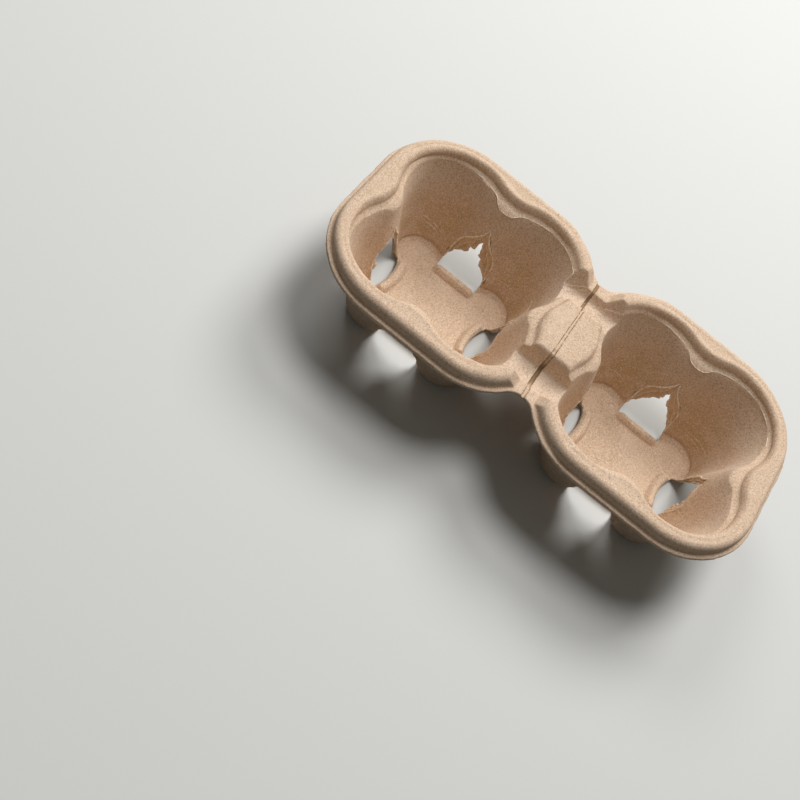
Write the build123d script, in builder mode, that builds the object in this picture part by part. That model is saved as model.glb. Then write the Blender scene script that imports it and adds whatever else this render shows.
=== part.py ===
from build123d import *
from math import atan2, cos, degrees, radians, sin, sqrt, tan
import os

# Moulded paper-pulp carrier for two cups: two square wells side by side, joined by a
# bridge that is scored so that the carrier tears in two.
# X runs along both cups, Y across, Z up. Origin at the middle of the resting face.

# Plan, from a cup axis
cell_half = 53.8           # to the trimmed lip
cell_overlap = 0.2         # by which the two cells run into each other
lobe_at = 19.0             # centre of a well's corner lobe, along X and Y
end_corner_in = 2.2        # the far corners of the lip are centred this much inside the lobes
neck_corner_out = 1.8      # and the corners beside the neck this much outside them
neck_r = 8.5               # hollow curve of the neck
rim_width = 9.7            # from the lip to the crease inside the rim, over a lobe
floor_reach = 29.7         # to the edge of the floor, over a lobe

# Pulp, heights and rim
wall = 1.8                 # thickness of the pulp
crest_z = 48.2             # top of the rolled rim
skirt_height = 7.2         # from the crest down to the underside of the lip
rim_depth = 3.4            # from the crest down to the crease
lip_width = 1.6            # flat lip outside the skirt
skirt_draft = 10.0         # slope of the skirt, in degrees
rim_round = 3.8            # rounding of the rim's outer edge
mouth_draft = 22.0         # slope of the rim's inner side, in degrees
mouth_round = 2.8          # rounding from the crest into a well

# Walls of a well, which bulge in between the lobes. A ledge runs round under the crease
crease_bulge_r = 21.0
ledge_bulge_r = 8.3        # at the ledge's inner edge
ledge_width = 0.9          # over a lobe; it is wider over a bulge
ledge_draft = 44.0         # slope of the ledge, in degrees from upright
ledge_fall = 8.0           # how far the ledge's cone is carried down, into the well
heel_bevel = 3.4           # under the wells, outside
floor_bevel = 2.0          # between floor and wall, inside

# Openings in the middle of each side of a well
opening_in = 0.3           # the cut edge of the floor lies this much inside the bulges
opening_half = 11.0        # half the width at the floor
shoulder_half = 10.4       # half the width where the sides start to close
shoulder_z = 12.0
opening_top_z = 32.0       # point of the opening, on the ridge of the bulge

# Ribs pressed up from the floor along the openings
rib_length, rib_width, rib_height = 22.0, 4.8, 2.0
rib_bend_r = 28.0          # the two ribs across X are bent like the bulges behind them
rib_bevel = 1.3
recess_width, recess_depth = 1.8, 1.1     # groove under each rib

# Bridge between the wells: a crown, a trough on each side of it, and a flat tab at each end
crown_half = 15.4          # from the X axis to the end of the crown's top
crown_foot = 17.6          # where the crown's end wall meets the trough
trough_depth = 9.4         # from the crest down to the floor of the troughs
trough_end = 29.2          # where the trough turns up to the tab
tab_start = 31.2           # inner edge of the tab
tab_half = 5.0             # half the width of the tab
tab_draft = 40.0           # slope of the rim's cut ends beside the tab, in degrees
trough_round = 1.6         # between a trough's floor and its walls
trough_half = 16.0         # half the length of a trough along X, well into the wells
crown_round = 2.2          # over the ends of the crown

# Tear score across the bridge
score_width = 1.6
crown_score, trough_score = 0.6, 1.1     # depths
score_shift = -1.2         # it is pressed in a little off the middle, along X
score_turn = 1.5           # and a little askew, in degrees

# Worked out from the sizes above
axis_x = cell_half - cell_overlap / 2
lip_z = crest_z - skirt_height
lip_top = lip_z + wall
crease_z = crest_z - rim_depth
trough_z = crest_z - trough_depth
crease_lobe_r = cell_half - rim_width - lobe_at
floor_lobe_r = floor_reach - lobe_at
well_run = crease_lobe_r - ledge_width - floor_lobe_r
well_rise = crease_z - ledge_width / tan(radians(ledge_draft)) - wall
well_slope = atan2(well_run, well_rise)
floor_bulge_r = ledge_bulge_r + well_run
clear_z = crest_z + 5      # the tops of the cutters
reach_y = cell_half + 5    # the ends of the cutters


def side_mid(lobe_r, bulge_r):
    """From the cup axis to the middle of a bulge, which touches the lobes beside it."""
    return lobe_at - bulge_r + sqrt((lobe_r + bulge_r) ** 2 - lobe_at ** 2)


crease_mid = side_mid(crease_lobe_r, crease_bulge_r)
opening_r = side_mid(floor_lobe_r, floor_bulge_r) - opening_in


def plan(inset, z):
    """The plan of the two cells and the neck, drawn in by a distance."""
    half = cell_half - inset
    end_at = lobe_at - end_corner_in
    side_at = lobe_at + neck_corner_out
    side_r = half - side_at
    hollow_r = neck_r + inset
    corner_x = axis_x - side_at
    hollow_y = side_at + sqrt((side_r + hollow_r) ** 2 - corner_x ** 2)
    meet = degrees(atan2(hollow_y - side_at, -corner_x))
    with BuildSketch(Plane.XY.offset(z)) as outline:
        with BuildLine():
            Line((axis_x + half, 0), (axis_x + half, end_at))
            CenterArc((axis_x + end_at, end_at), half - end_at, 0, 90)
            Line((axis_x + end_at, half), (corner_x, half))
            CenterArc((corner_x, side_at), side_r, 90, meet - 90)
            CenterArc((0, hollow_y), hollow_r, meet + 180, 90 - meet)
            mirror(about=Plane.XZ)
            mirror(about=Plane.YZ)
        make_face()
    return outline.sketch


def lobed(z, lobe_r, bulge_r):
    """A square with a round lobe at each corner and a bulge in the middle of each side."""
    mid = side_mid(lobe_r, bulge_r)
    share = lobe_r / (lobe_r + bulge_r)
    near = lobe_at * (1 - share)
    far = lobe_at + share * (mid + bulge_r - lobe_at)
    tip = lobe_at + lobe_r * cos(radians(45))
    with BuildSketch(Plane((axis_x, 0, z))) as section:
        with BuildLine():
            for turn in range(4):
                spots = [
                    Vector(x, y).rotate(Axis.Z, 90 * turn)
                    for x, y in ((far, -near), (mid, 0), (far, near), (tip, tip), (near, far))
                ]
                ThreePointArc(spots[0], spots[1], spots[2])
                ThreePointArc(spots[2], spots[3], spots[4])
        make_face()
    return section.sketch


def well_forms(spread, bevel):
    """Both wells as solids, widened all round by a distance."""
    floor_side = spread * (1 - sin(well_slope)) / cos(well_slope)
    mean, bend = radians(ledge_draft + mouth_draft) / 2, radians(ledge_draft - mouth_draft) / 2
    drop = spread * sin(mean) / cos(bend)
    side = spread / cos(radians(mouth_draft)) - drop * tan(radians(mouth_draft))
    with BuildPart() as forms:
        add(lobed(wall - spread, floor_lobe_r + floor_side, floor_bulge_r - floor_side))
        extrude(amount=crest_z - wall, dir=(0, 0, 1), taper=-degrees(well_slope))
        chamfer(forms.faces().sort_by(Axis.Z)[0].edges(), bevel)
        crease = lobed(crease_z - drop, crease_lobe_r + side, crease_bulge_r - side)
        add(crease)
        extrude(amount=ledge_fall, dir=(0, 0, -1), taper=ledge_draft)
        add(crease)
        extrude(amount=clear_z - crease_z, dir=(0, 0, 1), taper=-mouth_draft)
        mirror(about=Plane.YZ)
    return forms


def trough_profile(spread):
    """Section of one trough across its length, widened all round by a distance."""
    tab_lean = (tab_start - trough_end) / (lip_top - trough_z) * (clear_z - trough_z)
    with BuildSketch(Plane.YZ) as profile:
        with BuildLine():
            Polyline(
                (crown_half - crown_round, clear_z),
                (crown_half - crown_round, crest_z),
                (crown_half, crest_z),
                (crown_foot, trough_z),
                (trough_end, trough_z),
                (trough_end + tab_lean, clear_z),
                close=True,
            )
        make_face()
        fillet(profile.vertices().sort_by(Axis.Y)[:2], trough_round)
        fillet(profile.vertices().group_by(Axis.Y)[-2].sort_by(Axis.X)[-1], crown_round)
        if spread:
            offset(amount=spread, kind=Kind.INTERSECTION)
    return profile.sketch


def tab_profile(spread):
    """Section of the gap in the rim over a tab, widened all round by a distance."""
    flare = (clear_z - lip_top) * tan(radians(tab_draft))
    with BuildSketch(Plane.XZ.offset(spread - trough_end)) as profile:
        with BuildLine():
            Polyline(
                (-tab_half, lip_top),
                (tab_half, lip_top),
                (tab_half + flare, clear_z),
                (-tab_half - flare, clear_z),
                close=True,
            )
        make_face()
        if spread:
            offset(amount=spread, kind=Kind.INTERSECTION)
    return profile.sketch


# The space inside the two wells, and the same space widened by the wall
with BuildPart() as well_space:
    add(well_forms(0, floor_bevel))

with BuildPart() as well_blocks:
    add(well_forms(wall, heel_bevel))

# The bridge as an open space over it, and the same space widened by the wall
with BuildPart() as bridge_space:
    add(trough_profile(0))
    extrude(amount=trough_half, dir=(1, 0, 0), both=True)
    add(tab_profile(0))
    extrude(amount=reach_y - trough_end, dir=(0, 1, 0))
    mirror(about=Plane.XZ)

with BuildPart() as bridge_block:
    add(trough_profile(wall))
    extrude(amount=trough_half, dir=(1, 0, 0), both=True)
    add(tab_profile(wall))
    extrude(amount=reach_y - trough_end, dir=(0, 1, 0))
    mirror(about=Plane.XZ)

# Floors of the troughs, where they hang below the lip
with BuildPart() as trough_floors:
    add(trough_profile(wall))
    extrude(amount=trough_half, dir=(1, 0, 0), both=True)
    split(bisect_by=Plane.XY.offset(lip_z + wall / 2), keep=Keep.BOTTOM)
    mirror(about=Plane.XZ)

# Walls of the wells, where they hang below the lip
with BuildPart() as well_feet:
    add(well_blocks)
    split(bisect_by=Plane.XY.offset(lip_z + wall / 2), keep=Keep.BOTTOM)

# Hollow under the rim, between the skirt and the wells
with BuildPart() as rim_hollow:
    add(plan(lip_width + wall, lip_z))
    extrude(amount=crest_z - wall - lip_z, dir=(0, 0, 1), taper=skirt_draft)
    chamfer(rim_hollow.faces().sort_by(Axis.Z)[-1].edges(), rim_round - wall)
    add(well_blocks, mode=Mode.SUBTRACT)
    add(bridge_block, mode=Mode.SUBTRACT)

# One side opening, through the +X side of the +X well
with BuildPart() as opening:
    with BuildSketch(Plane.YZ.offset(axis_x + opening_r)):
        with BuildLine():
            Polyline(
                (shoulder_half, shoulder_z),
                (opening_half, wall),
                (opening_half, -wall),
                (-opening_half, -wall),
                (-opening_half, wall),
                (-shoulder_half, shoulder_z),
            )
            for side in (1, -1):
                Bezier(
                    (side * shoulder_half, shoulder_z),
                    (side * shoulder_half * 0.92, (shoulder_z + opening_top_z) / 2),
                    (side * shoulder_half * 0.2, (shoulder_z + opening_top_z) / 2),
                    (0, opening_top_z),
                )
        make_face()
    extrude(amount=crease_mid - opening_r)

# The openings across X start from a floor edge that is bent like the rib beside it
with BuildPart() as bent_opening:
    add(opening)
    with Locations((axis_x + opening_r - rib_width / 2 + rib_bend_r, 0, 0)):
        Cylinder(rib_bend_r - rib_width / 2, 3 * opening_top_z, mode=Mode.INTERSECT)


def rib_forms(width, low, height):
    """The four long rounded forms along the openings of the +X well."""
    length = rib_length - rib_width + width
    at = opening_r - rib_width / 2
    bend = degrees((length - width) / 2 / rib_bend_r)
    with BuildPart() as forms:
        with BuildSketch(Plane((axis_x, 0, low))):
            with Locations((0, at), (0, -at)):
                SlotOverall(length, width)
            for side in (0, 180):
                centre = Vector(at + rib_bend_r, 0).rotate(Axis.Z, side)
                SlotArc(CenterArc(centre, rib_bend_r, 180 + side - bend, 2 * bend,
                                  mode=Mode.PRIVATE), width)
        extrude(amount=height)
    return forms


with BuildPart() as ribs:
    add(rib_forms(rib_width, wall / 2, wall / 2 + rib_height))
    chamfer(ribs.faces().filter_by(Plane.XY).group_by(Axis.Z)[-1].edges(), rib_bevel)
    mirror(about=Plane.YZ)

with BuildPart() as rib_recesses:
    add(rib_forms(recess_width, 0, recess_depth))
    mirror(about=Plane.YZ)

# Tear score: a narrow slit let into the crown, the troughs and the tabs
with BuildPart() as tear_score:
    add(trough_profile(trough_score))
    with BuildSketch(Plane.YZ):
        with Locations((0, crest_z - crown_score)):
            Rectangle(2 * crown_half, clear_z, align=(Align.CENTER, Align.MIN))
        with Locations((tab_start, lip_top - trough_score)):
            Rectangle(reach_y, clear_z, align=(Align.MIN, Align.MIN))
    extrude(amount=score_width / 2, dir=(1, 0, 0), both=True)
    mirror(about=Plane.XZ)

with BuildPart() as cup_carrier:
    # Rolled rim with its skirt, open at the two mouths
    add(plan(lip_width, lip_z))
    extrude(amount=crest_z - lip_z, dir=(0, 0, 1), taper=skirt_draft)
    fillet(cup_carrier.faces().sort_by(Axis.Z)[-1].edges(), rim_round)
    add(well_space, mode=Mode.SUBTRACT)
    crest = cup_carrier.faces().sort_by(Axis.Z)[-1]
    fillet([edge for mouth in crest.inner_wires() for edge in mouth.edges()], mouth_round)
    # Lip, wells and bridge
    add(plan(0, lip_z))
    extrude(amount=wall, dir=(0, 0, 1))
    add(well_feet)
    add(trough_floors)
    add(rim_hollow, mode=Mode.SUBTRACT)
    add(well_space, mode=Mode.SUBTRACT)
    add(bridge_space, mode=Mode.SUBTRACT)
    with Locations(Location((score_shift, 0, 0), (0, 0, score_turn))):
        add(tear_score, mode=Mode.SUBTRACT)
    # Ribs, and the openings beside them
    add(ribs)
    add(rib_recesses, mode=Mode.SUBTRACT)
    for turn, form in enumerate((bent_opening, opening, bent_opening, opening)):
        turned = form.part.rotate(Axis((axis_x, 0, 0), (0, 0, 1)), 90 * turn)
        add([turned, turned.mirror(Plane.YZ)], mode=Mode.SUBTRACT)

cup_carrier.part.label = "cup_carrier"
os.makedirs("parts", exist_ok=True)
export_step(cup_carrier.part, "parts/cup_carrier.step")
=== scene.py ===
import bpy
import bmesh
import math
import numpy as np
from mathutils import Euler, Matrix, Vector, noise
from mathutils.bvhtree import BVHTree
from mathutils.kdtree import KDTree


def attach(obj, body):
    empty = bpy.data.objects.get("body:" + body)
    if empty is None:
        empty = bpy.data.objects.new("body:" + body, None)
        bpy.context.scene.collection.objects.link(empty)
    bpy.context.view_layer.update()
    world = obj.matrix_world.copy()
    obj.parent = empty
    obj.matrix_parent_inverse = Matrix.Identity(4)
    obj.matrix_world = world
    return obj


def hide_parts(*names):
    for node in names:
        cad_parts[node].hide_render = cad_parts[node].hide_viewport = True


# Moulded paper-pulp carrier for two cups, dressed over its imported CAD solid.
# X runs along both cups, Y across, Z up. Everything rides on the one body, "root".

mm = 0.001
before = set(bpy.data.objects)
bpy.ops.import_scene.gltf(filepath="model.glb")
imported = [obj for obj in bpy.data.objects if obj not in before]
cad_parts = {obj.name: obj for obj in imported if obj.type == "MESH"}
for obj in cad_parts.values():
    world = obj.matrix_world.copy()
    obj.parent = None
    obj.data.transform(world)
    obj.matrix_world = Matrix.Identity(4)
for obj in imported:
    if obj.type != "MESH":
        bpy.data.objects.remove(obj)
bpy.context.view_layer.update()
print("frame loaded")

# the plies' shakes and the threads' sway are noise vectors, the same in every run with a seed
noiseSeed = 7
noise.seed_set(noiseSeed)

# camera, solved from the photograph
camera = {
    "place": (-30.5 * mm, -321.3 * mm, 402.6 * mm),
    "turn": (28.333, -20.130, 34.084),  # degrees
    "lens": 51.5,  # mm
    "sensor": 36,
}

# pale floor and soft lamps
studio = {
    "floorColour": (0.70, 0.71, 0.70),  # as the camera sees it
    "bounceColour": (0.25, 0.25, 0.24),  # as it lights the carrier from below
    "floorRoughness": 0.9,
    "floorSize": 6.0,
    "worldColour": (0.100, 0.098, 0.090),
    "horizonColour": (0.62, 0.63, 0.62),  # of the world, as the camera sees it
    # name, place, aimed at, size, watts, colour
    "lamps": (
        ("backLamp", (0.14, 0.94, 1.04), (0, 0, 0.02), 0.6, 10.2, (1.0, 0.99, 0.97)),
        ("sideLamp", (-0.70, 0.70, 0.99), (0, 0, 0.02), 0.6, 4.6, (1.0, 0.99, 0.98)),
        ("topLamp", (0.0, 0.36, 1.35), (0, 0, 0.02), 0.6, 8.6, (1.0, 0.98, 0.96)),
    ),
}


def addCamera():
    lens = bpy.data.cameras.new("photoCamera")
    lens.lens = camera["lens"]
    lens.sensor_width = camera["sensor"]
    holder = bpy.data.objects.new("photoCamera", lens)
    holder.location = camera["place"]
    holder.rotation_euler = Euler([math.radians(a) for a in camera["turn"]], "XYZ")
    bpy.context.collection.objects.link(holder)
    bpy.context.scene.camera = holder


def mixSeen(tree, unseen, seen, shader, socket):
    # one colour for the camera, another for the light that reaches the carrier
    light = tree.nodes.new("ShaderNodeLightPath")
    mix = tree.nodes.new("ShaderNodeMix")
    mix.data_type = "RGBA"
    mix.inputs[6].default_value = (*unseen, 1)
    mix.inputs[7].default_value = (*seen, 1)
    tree.links.new(light.outputs["Is Camera Ray"], mix.inputs[0])
    tree.links.new(mix.outputs[2], tree.nodes[shader].inputs[socket])


def addLamps():
    for name, place, aim, size, watts, colour in studio["lamps"]:
        light = bpy.data.lights.new(name, "AREA")
        light.shape = "DISK"
        light.size = size
        light.energy = watts
        light.color = colour
        lamp = bpy.data.objects.new(name, light)
        lamp.location = place
        lamp.rotation_euler = (Vector(aim) - Vector(place)).to_track_quat("-Z", "Y").to_euler()
        bpy.context.collection.objects.link(lamp)
    world = bpy.data.worlds.new("studioWorld")
    bpy.context.scene.world = world
    world.use_nodes = True
    mixSeen(world.node_tree, studio["worldColour"], studio["horizonColour"], "Background", "Color")


def addFloor():
    shape = bmesh.new()
    bmesh.ops.create_grid(shape, x_segments=1, y_segments=1, size=studio["floorSize"] / 2)
    mesh = bpy.data.meshes.new("floor")
    shape.to_mesh(mesh)
    shape.free()
    floor = bpy.data.objects.new("floor", mesh)
    bpy.context.collection.objects.link(floor)
    paint = bpy.data.materials.new("floorPaint")
    paint.use_nodes = True
    shader = paint.node_tree.nodes["Principled BSDF"]
    shader.inputs["Roughness"].default_value = studio["floorRoughness"]
    shader.inputs["Specular IOR Level"].default_value = 0.0
    mixSeen(paint.node_tree, studio["bounceColour"], studio["floorColour"], "Principled BSDF", "Base Color")
    mesh.materials.append(paint)


addCamera()
addLamps()
addFloor()
bpy.context.scene.view_settings.view_transform = "Standard"
print("studio ready")

# places on the carrier, as in its drawing
drawing = {
    "axisX": 53.7 * mm,
    "openingHalf": 11.0 * mm,
    "shoulderHalf": 10.4 * mm,
    "shoulderZ": 12.0 * mm,
    "openingTop": 32.0 * mm,
    "shoulderPull": 0.92,  # shares of the shoulder's half at which its curve is pulled upwards
    "topPull": 0.2,
    "curveSteps": 21,
    "openingFrom": 19 * mm,  # an opening lies between these distances from the cup axis
    "openingTo": 40 * mm,
    "openingOver": 5 * mm,  # and what is this near above or beside it counts as round it
    "openingBeside": 6 * mm,
    "wall": 1.8 * mm,
    "ribTop": 4.2 * mm,
    "heelTop": 17 * mm,
    "crownEnd": 15.6 * mm,
    "tabStart": 30.4 * mm,
    "bridgeZ": 35 * mm,
    "lipZ": 41.0 * mm,
    "cellHalf": 53.8 * mm,
    "endCornerAt": 16.8 * mm,
    "neckCornerAt": 20.8 * mm,
    "scoreHalf": 0.8 * mm,
    "scoreShift": -1.2 * mm,
    "scoreTurn": 1.5,  # degrees
}

# the carrier's skin, a soft-edged copy of the CAD solid
skin = {
    "grain": 0.42 * mm,  # size of the remeshed faces while it is shaped
    "steps": (0.55, -0.57),  # shares of the way to the neighbours' mean, there and back
    "softenRounds": 5,
    "heelRounds": 8,
    "bridgeRounds": 14,
    "lobeRounds": 40,
    "scoreShare": 0.3,
    "floorShare": 0.25,
    "keepTriangles": 190000,
}

# where the skin softens more or less than elsewhere
soft = {
    "bridgeHalf": 24 * mm,
    "bridgeFade": 4 * mm,
    "crownHalf": 11 * mm,
    "crownFade": 2 * mm,
    "lobeFrom": 14 * mm,  # distance from the middle of a side at which the ledge starts to run out
    "lobeFade": 6 * mm,
    "lobeTop": 47 * mm,
    "lobeTopFade": 1 * mm,
    "lobeUnder": 2 * mm,
    "heelFade": 5 * mm,
    "floorOver": 1.5 * mm,
    "underside": -0.3,  # what looks down more than this counts as outside
    "openingGap": 0.6 * mm,
    "openingFade": 2 * mm,
}

# the rim's roundings, by how much their radius is less than in the drawing
rim = {
    "outer": 1.5 * mm,
    "inner": 1.6 * mm,
    "outerFrom": 43.8 * mm,  # height from which a rounding is tightened
    "innerFrom": 45.0 * mm,
    "fade": 1.2 * mm,
    "bridgeHalf": 20 * mm,  # the roundings on the bridge stay as drawn
    "bridgeFade": 6 * mm,
}

# the ribs on the wells' floors, higher than drawn
ribs = {
    "bendRadius": 28 * mm,  # of those at the openings that face along X, the others are straight
    "from": 17.6 * mm,  # distances from the cup axis between which a rib lies
    "to": 24.4 * mm,
    "half": 12.5 * mm,
    "fade": 1 * mm,
    "height": 2.0 * mm,
    "higher": 0.35,  # share of its height that is added
}

# the corner between the floor of a well and its lobes, tighter than drawn too
heel = {
    "turn": 72,  # degrees from the floor's normal to the wall's
    "tighter": 3.6 * mm,
    "lowest": 1.6 * mm,
    "highest": 5.5 * mm,
    "lobeFrom": 11 * mm,
    "lobeFade": 3 * mm,
}

# the ledge in each well, broad and nearly level where a side bulges in
ledge = {
    # mm from the middle of a bulge, mm by which the edge of the ledge moves into the well
    "inward": (
        (0, 0.8), (5, 1.2), (9, 1.6), (13, 1.7), (17, 1.4), (21, 1.0), (25, 0.6), (29, 0.2), (32, 0.0),
    ),
    "crease": 44.9 * mm,
    "edge": 43.2 * mm,
    "wallFull": 40 * mm,  # the wall below follows, less and less down to wallFrom
    "wallFrom": 18 * mm,
    "innermost": 10 * mm,
    "fadeFrom": 44.5 * mm,  # distances from the cup axis between which the move ends
    "fadeTo": 50 * mm,
    "rise": 1.2 * mm,
    "riseHalf": 7 * mm,
    "riseFull": 41 * mm,
    "riseFrom": 33 * mm,
    # the crease over it is pressed deeper than in the drawing
    "lobeAt": 19 * mm,
    "lobeRadius": 25.1 * mm,
    "bulgeAt": 61 * mm,
    "bulgeRadius": 21 * mm,
    "creaseDepth": 1.0 * mm,
    "creaseHalf": 1.3 * mm,
    "creaseTilt": 0.25,  # how far a face has to look up to be pressed in full
    "creaseFade": 1 * mm,
    "creaseOver": 4 * mm,  # how far it is pressed over the lobes
    "creaseOverFade": 8 * mm,
}

# torn inner edges of the openings
tear = {
    "band": 2.6 * mm,  # how far into the wall the tearing shows
    "lowest": 2.6 * mm,
    "ragged": ((7.5 * mm, 1.0 * mm), (2.2 * mm, 0.6 * mm), (0.9 * mm, 0.25 * mm)),  # size, height
    "floorShare": 0.2,  # of the raggedness, at the floor
    "floorFrom": 3.5,  # mm
    "floorFade": 3,
    "pointShare": 0.25,  # of the raggedness, over the point
    "pointOver": 1.5 * mm,
    "pointFade": 6 * mm,
    "lift": 0.30 * mm,  # by which the inner edge stands up into the well
    "liftBand": 0.9 * mm,
    "liftShare": 0.6,
    "liftRagged": ((3 * mm, 0.6),),
    "liftFade": 3 * mm,
    # what faces into an opening takes the torn colour, which is partly painted shade
    "faceOver": 0.6 * mm,
    "faceBand": 1.4 * mm,
    "faceTilt": 0.25,
    "faceFade": 0.4,
    # the thread of fibre along the edge
    "edgeThick": 0.42 * mm,
    "edgeStrength": 0.95,
    "edgeSwell": (4 * mm, 0.6),  # size, amount
    "edgeRagged": (1.3 * mm, 0.4),
}

# ragged trim of the lip
trim = {
    "band": 1.0 * mm,
    "ragged": ((9.0 * mm, 0.08 * mm), (2.4 * mm, 0.07 * mm), (0.9 * mm, 0.09 * mm)),
    "under": 1 * mm,
    "over": 3 * mm,
    "stretch": (1, 1, 0.3),  # less up and down than outwards
}

# slow waviness of the whole pressing
wave = ((45 * mm, 0.30 * mm), (9 * mm, 0.06 * mm))
noiseGain = 1.6  # brings every noise layer up to about its stated height

# how the tear score shows: as two cut lines, and off the crown as a groove darkened with painted shade too
tearScore = {
    "beside": 4 * mm,
    "crownFade": 0.8 * mm,
    "tabBefore": 5 * mm,
    "tabFade": 2 * mm,
    "tabLines": 0.35,  # by how much the lines and the groove's painted shade are fainter on the near tab
    "tabGrooveShade": 0.85,
    "farHalf": 0.5 * mm,  # half the width that it shows at its far end
    "wobbleSize": 2.2 * mm,
    "wobble": 0.45 * mm,
    "floorFade": 0.2 * mm,
    "lineFull": 0.08 * mm,
}


def readPoints(mesh):
    points = np.empty(len(mesh.vertices) * 3, dtype=np.float32)
    mesh.vertices.foreach_get("co", points)
    return points.reshape(-1, 3).astype(float)


def writePoints(mesh, points):
    mesh.vertices.foreach_set("co", points.astype(np.float32).ravel())
    mesh.update()


def readNormals(mesh):
    normals = np.empty(len(mesh.vertices) * 3, dtype=np.float32)
    mesh.vertices.foreach_get("normal", normals)
    return normals.reshape(-1, 3).astype(float)


def readEdges(mesh):
    edges = np.empty(len(mesh.edges) * 2, dtype=np.int32)
    mesh.edges.foreach_get("vertices", edges)
    return edges.reshape(-1, 2)


def withModifier(mesh, kind, **settings):
    holder = bpy.data.objects.new("work", mesh)
    bpy.context.collection.objects.link(holder)
    change = holder.modifiers.new(kind, kind)
    for key, value in settings.items():
        setattr(change, key, value)
    depsgraph = bpy.context.evaluated_depsgraph_get()
    changed = bpy.data.meshes.new_from_object(holder.evaluated_get(depsgraph))
    bpy.data.objects.remove(holder)
    return changed


def soften(points, edges, share, rounds):
    # each point moves to its neighbours' mean and partly back, so walls keep their thickness
    count = np.bincount(edges.ravel(), minlength=len(points))[:, None]
    for _ in range(rounds):
        for step in skin["steps"]:
            total = np.empty_like(points)
            for axis in range(3):
                near = points[:, axis]
                total[:, axis] = np.bincount(edges[:, 0], near[edges[:, 1]], len(points))
                total[:, axis] += np.bincount(edges[:, 1], near[edges[:, 0]], len(points))
            points = points + (total / count - points) * step * share[:, None]
    return points


def rough(points, layers, seed=0.0):
    # sum of noise layers at each point
    height = np.zeros(len(points))
    for size, amount in layers:
        scaled = points / size + seed
        height += [amount * noise.noise(Vector(p)) * noiseGain for p in scaled]
    return height


def smoothStep(x):
    x = np.clip(x, 0, 1)
    return x * x * (3 - 2 * x)


def openingSide():
    # one side of the outline, from below the floor up to the point: across, up
    d = drawing
    middle = (d["shoulderZ"] + d["openingTop"]) / 2
    side = [(d["openingHalf"], -d["wall"]), (d["openingHalf"], d["wall"])]
    knots = [np.array(knot) for knot in (
        (d["shoulderHalf"], d["shoulderZ"]), (d["shoulderHalf"] * d["shoulderPull"], middle),
        (d["shoulderHalf"] * d["topPull"], middle), (0, d["openingTop"]))]
    for t in np.linspace(0, 1, d["curveSteps"]):
        weights = ((1 - t) ** 3, 3 * (1 - t) ** 2 * t, 3 * (1 - t) * t * t, t ** 3)
        side.append(sum(w * knot for w, knot in zip(weights, knots)))
    return np.array(side)


def openingOutline():
    side = openingSide()
    return np.vstack([side, side[-2::-1] * (-1, 1)])


def toOutline(flat, outline):
    # signed distance to the outline, positive in the wall, and the way into the opening
    start, run = outline[:-1], np.diff(outline, axis=0)
    best = np.full(len(flat), 1e9)
    way = np.zeros((len(flat), 2))
    for a, r in zip(start, run):
        t = np.clip(((flat - a) @ r) / (r @ r), 0, 1)
        gap = a + t[:, None] * r - flat
        far = np.hypot(gap[:, 0], gap[:, 1])
        closer = far < best
        best[closer] = far[closer]
        way[closer] = gap[closer] / (far[closer, None] + 1e-9)
    inside = np.zeros(len(flat), bool)
    loop = np.vstack([outline, outline[:1]])
    for a, b in zip(loop[:-1], loop[1:]):
        crosses = (a[1] > flat[:, 1]) != (b[1] > flat[:, 1])
        at = a[0] + (flat[:, 1] - a[1]) / (b[1] - a[1] + 1e-12) * (b[0] - a[0])
        inside ^= crosses & (flat[:, 0] < at)
    best[inside] *= -1
    way[inside] *= -1
    return best, way


def openingPlaces():
    # the eight openings: name, quarter turn, cup axis, the way out and the way across
    for cell, cellName in ((-1, "left"), (1, "right")):
        for turn, wayName in enumerate(("plusX", "back", "minusX", "front")):
            out = np.array((math.cos(turn * math.pi / 2), math.sin(turn * math.pi / 2)))
            across = np.array((-out[1], out[0]))
            yield cellName + "_" + wayName, turn, np.array((cell * drawing["axisX"], 0.0)), out, across


def openingFrame(points, centre, out, across):
    # distance out from the cup axis, across and up, and which points lie round the opening
    flat = points[:, :2] - centre
    u, s, z = flat @ out, flat @ across, points[:, 2]
    near = (u > drawing["openingFrom"]) & (u < drawing["openingTo"])
    near &= z < drawing["openingTop"] + drawing["openingOver"]
    near &= abs(s) < drawing["openingHalf"] + drawing["openingBeside"]
    return u, s, z, np.nonzero(near)[0]


def shapeLedge(points):
    # moves the edge of the ledge and the wall under it, evenly through the wall
    shaped = points.copy()
    places, amounts = np.array(ledge["inward"]).T * mm
    z = points[:, 2]
    follow = smoothStep((z - ledge["wallFrom"]) / (ledge["wallFull"] - ledge["wallFrom"]))
    follow *= np.clip((ledge["crease"] - z) / (ledge["crease"] - ledge["edge"]), 0, 1)
    lift = smoothStep((z - ledge["riseFrom"]) / (ledge["riseFull"] - ledge["riseFrom"]))
    lift *= np.clip((ledge["crease"] - z) / (ledge["crease"] - ledge["riseFull"]), 0, 1)
    for _, _, centre, out, across in openingPlaces():
        flat = points[:, :2] - centre
        u, s = flat @ out, abs(flat @ across)
        held = np.clip((ledge["fadeTo"] - u) / (ledge["fadeTo"] - ledge["fadeFrom"]), 0, 1)
        held *= u > ledge["innermost"]
        move = np.interp(s, places, amounts) * follow * held
        shaped[:, :2] -= move[:, None] * out
        shaped[:, 2] += ledge["rise"] * np.exp(-((s / ledge["riseHalf"]) ** 2)) * lift * held
    return shaped


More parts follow.
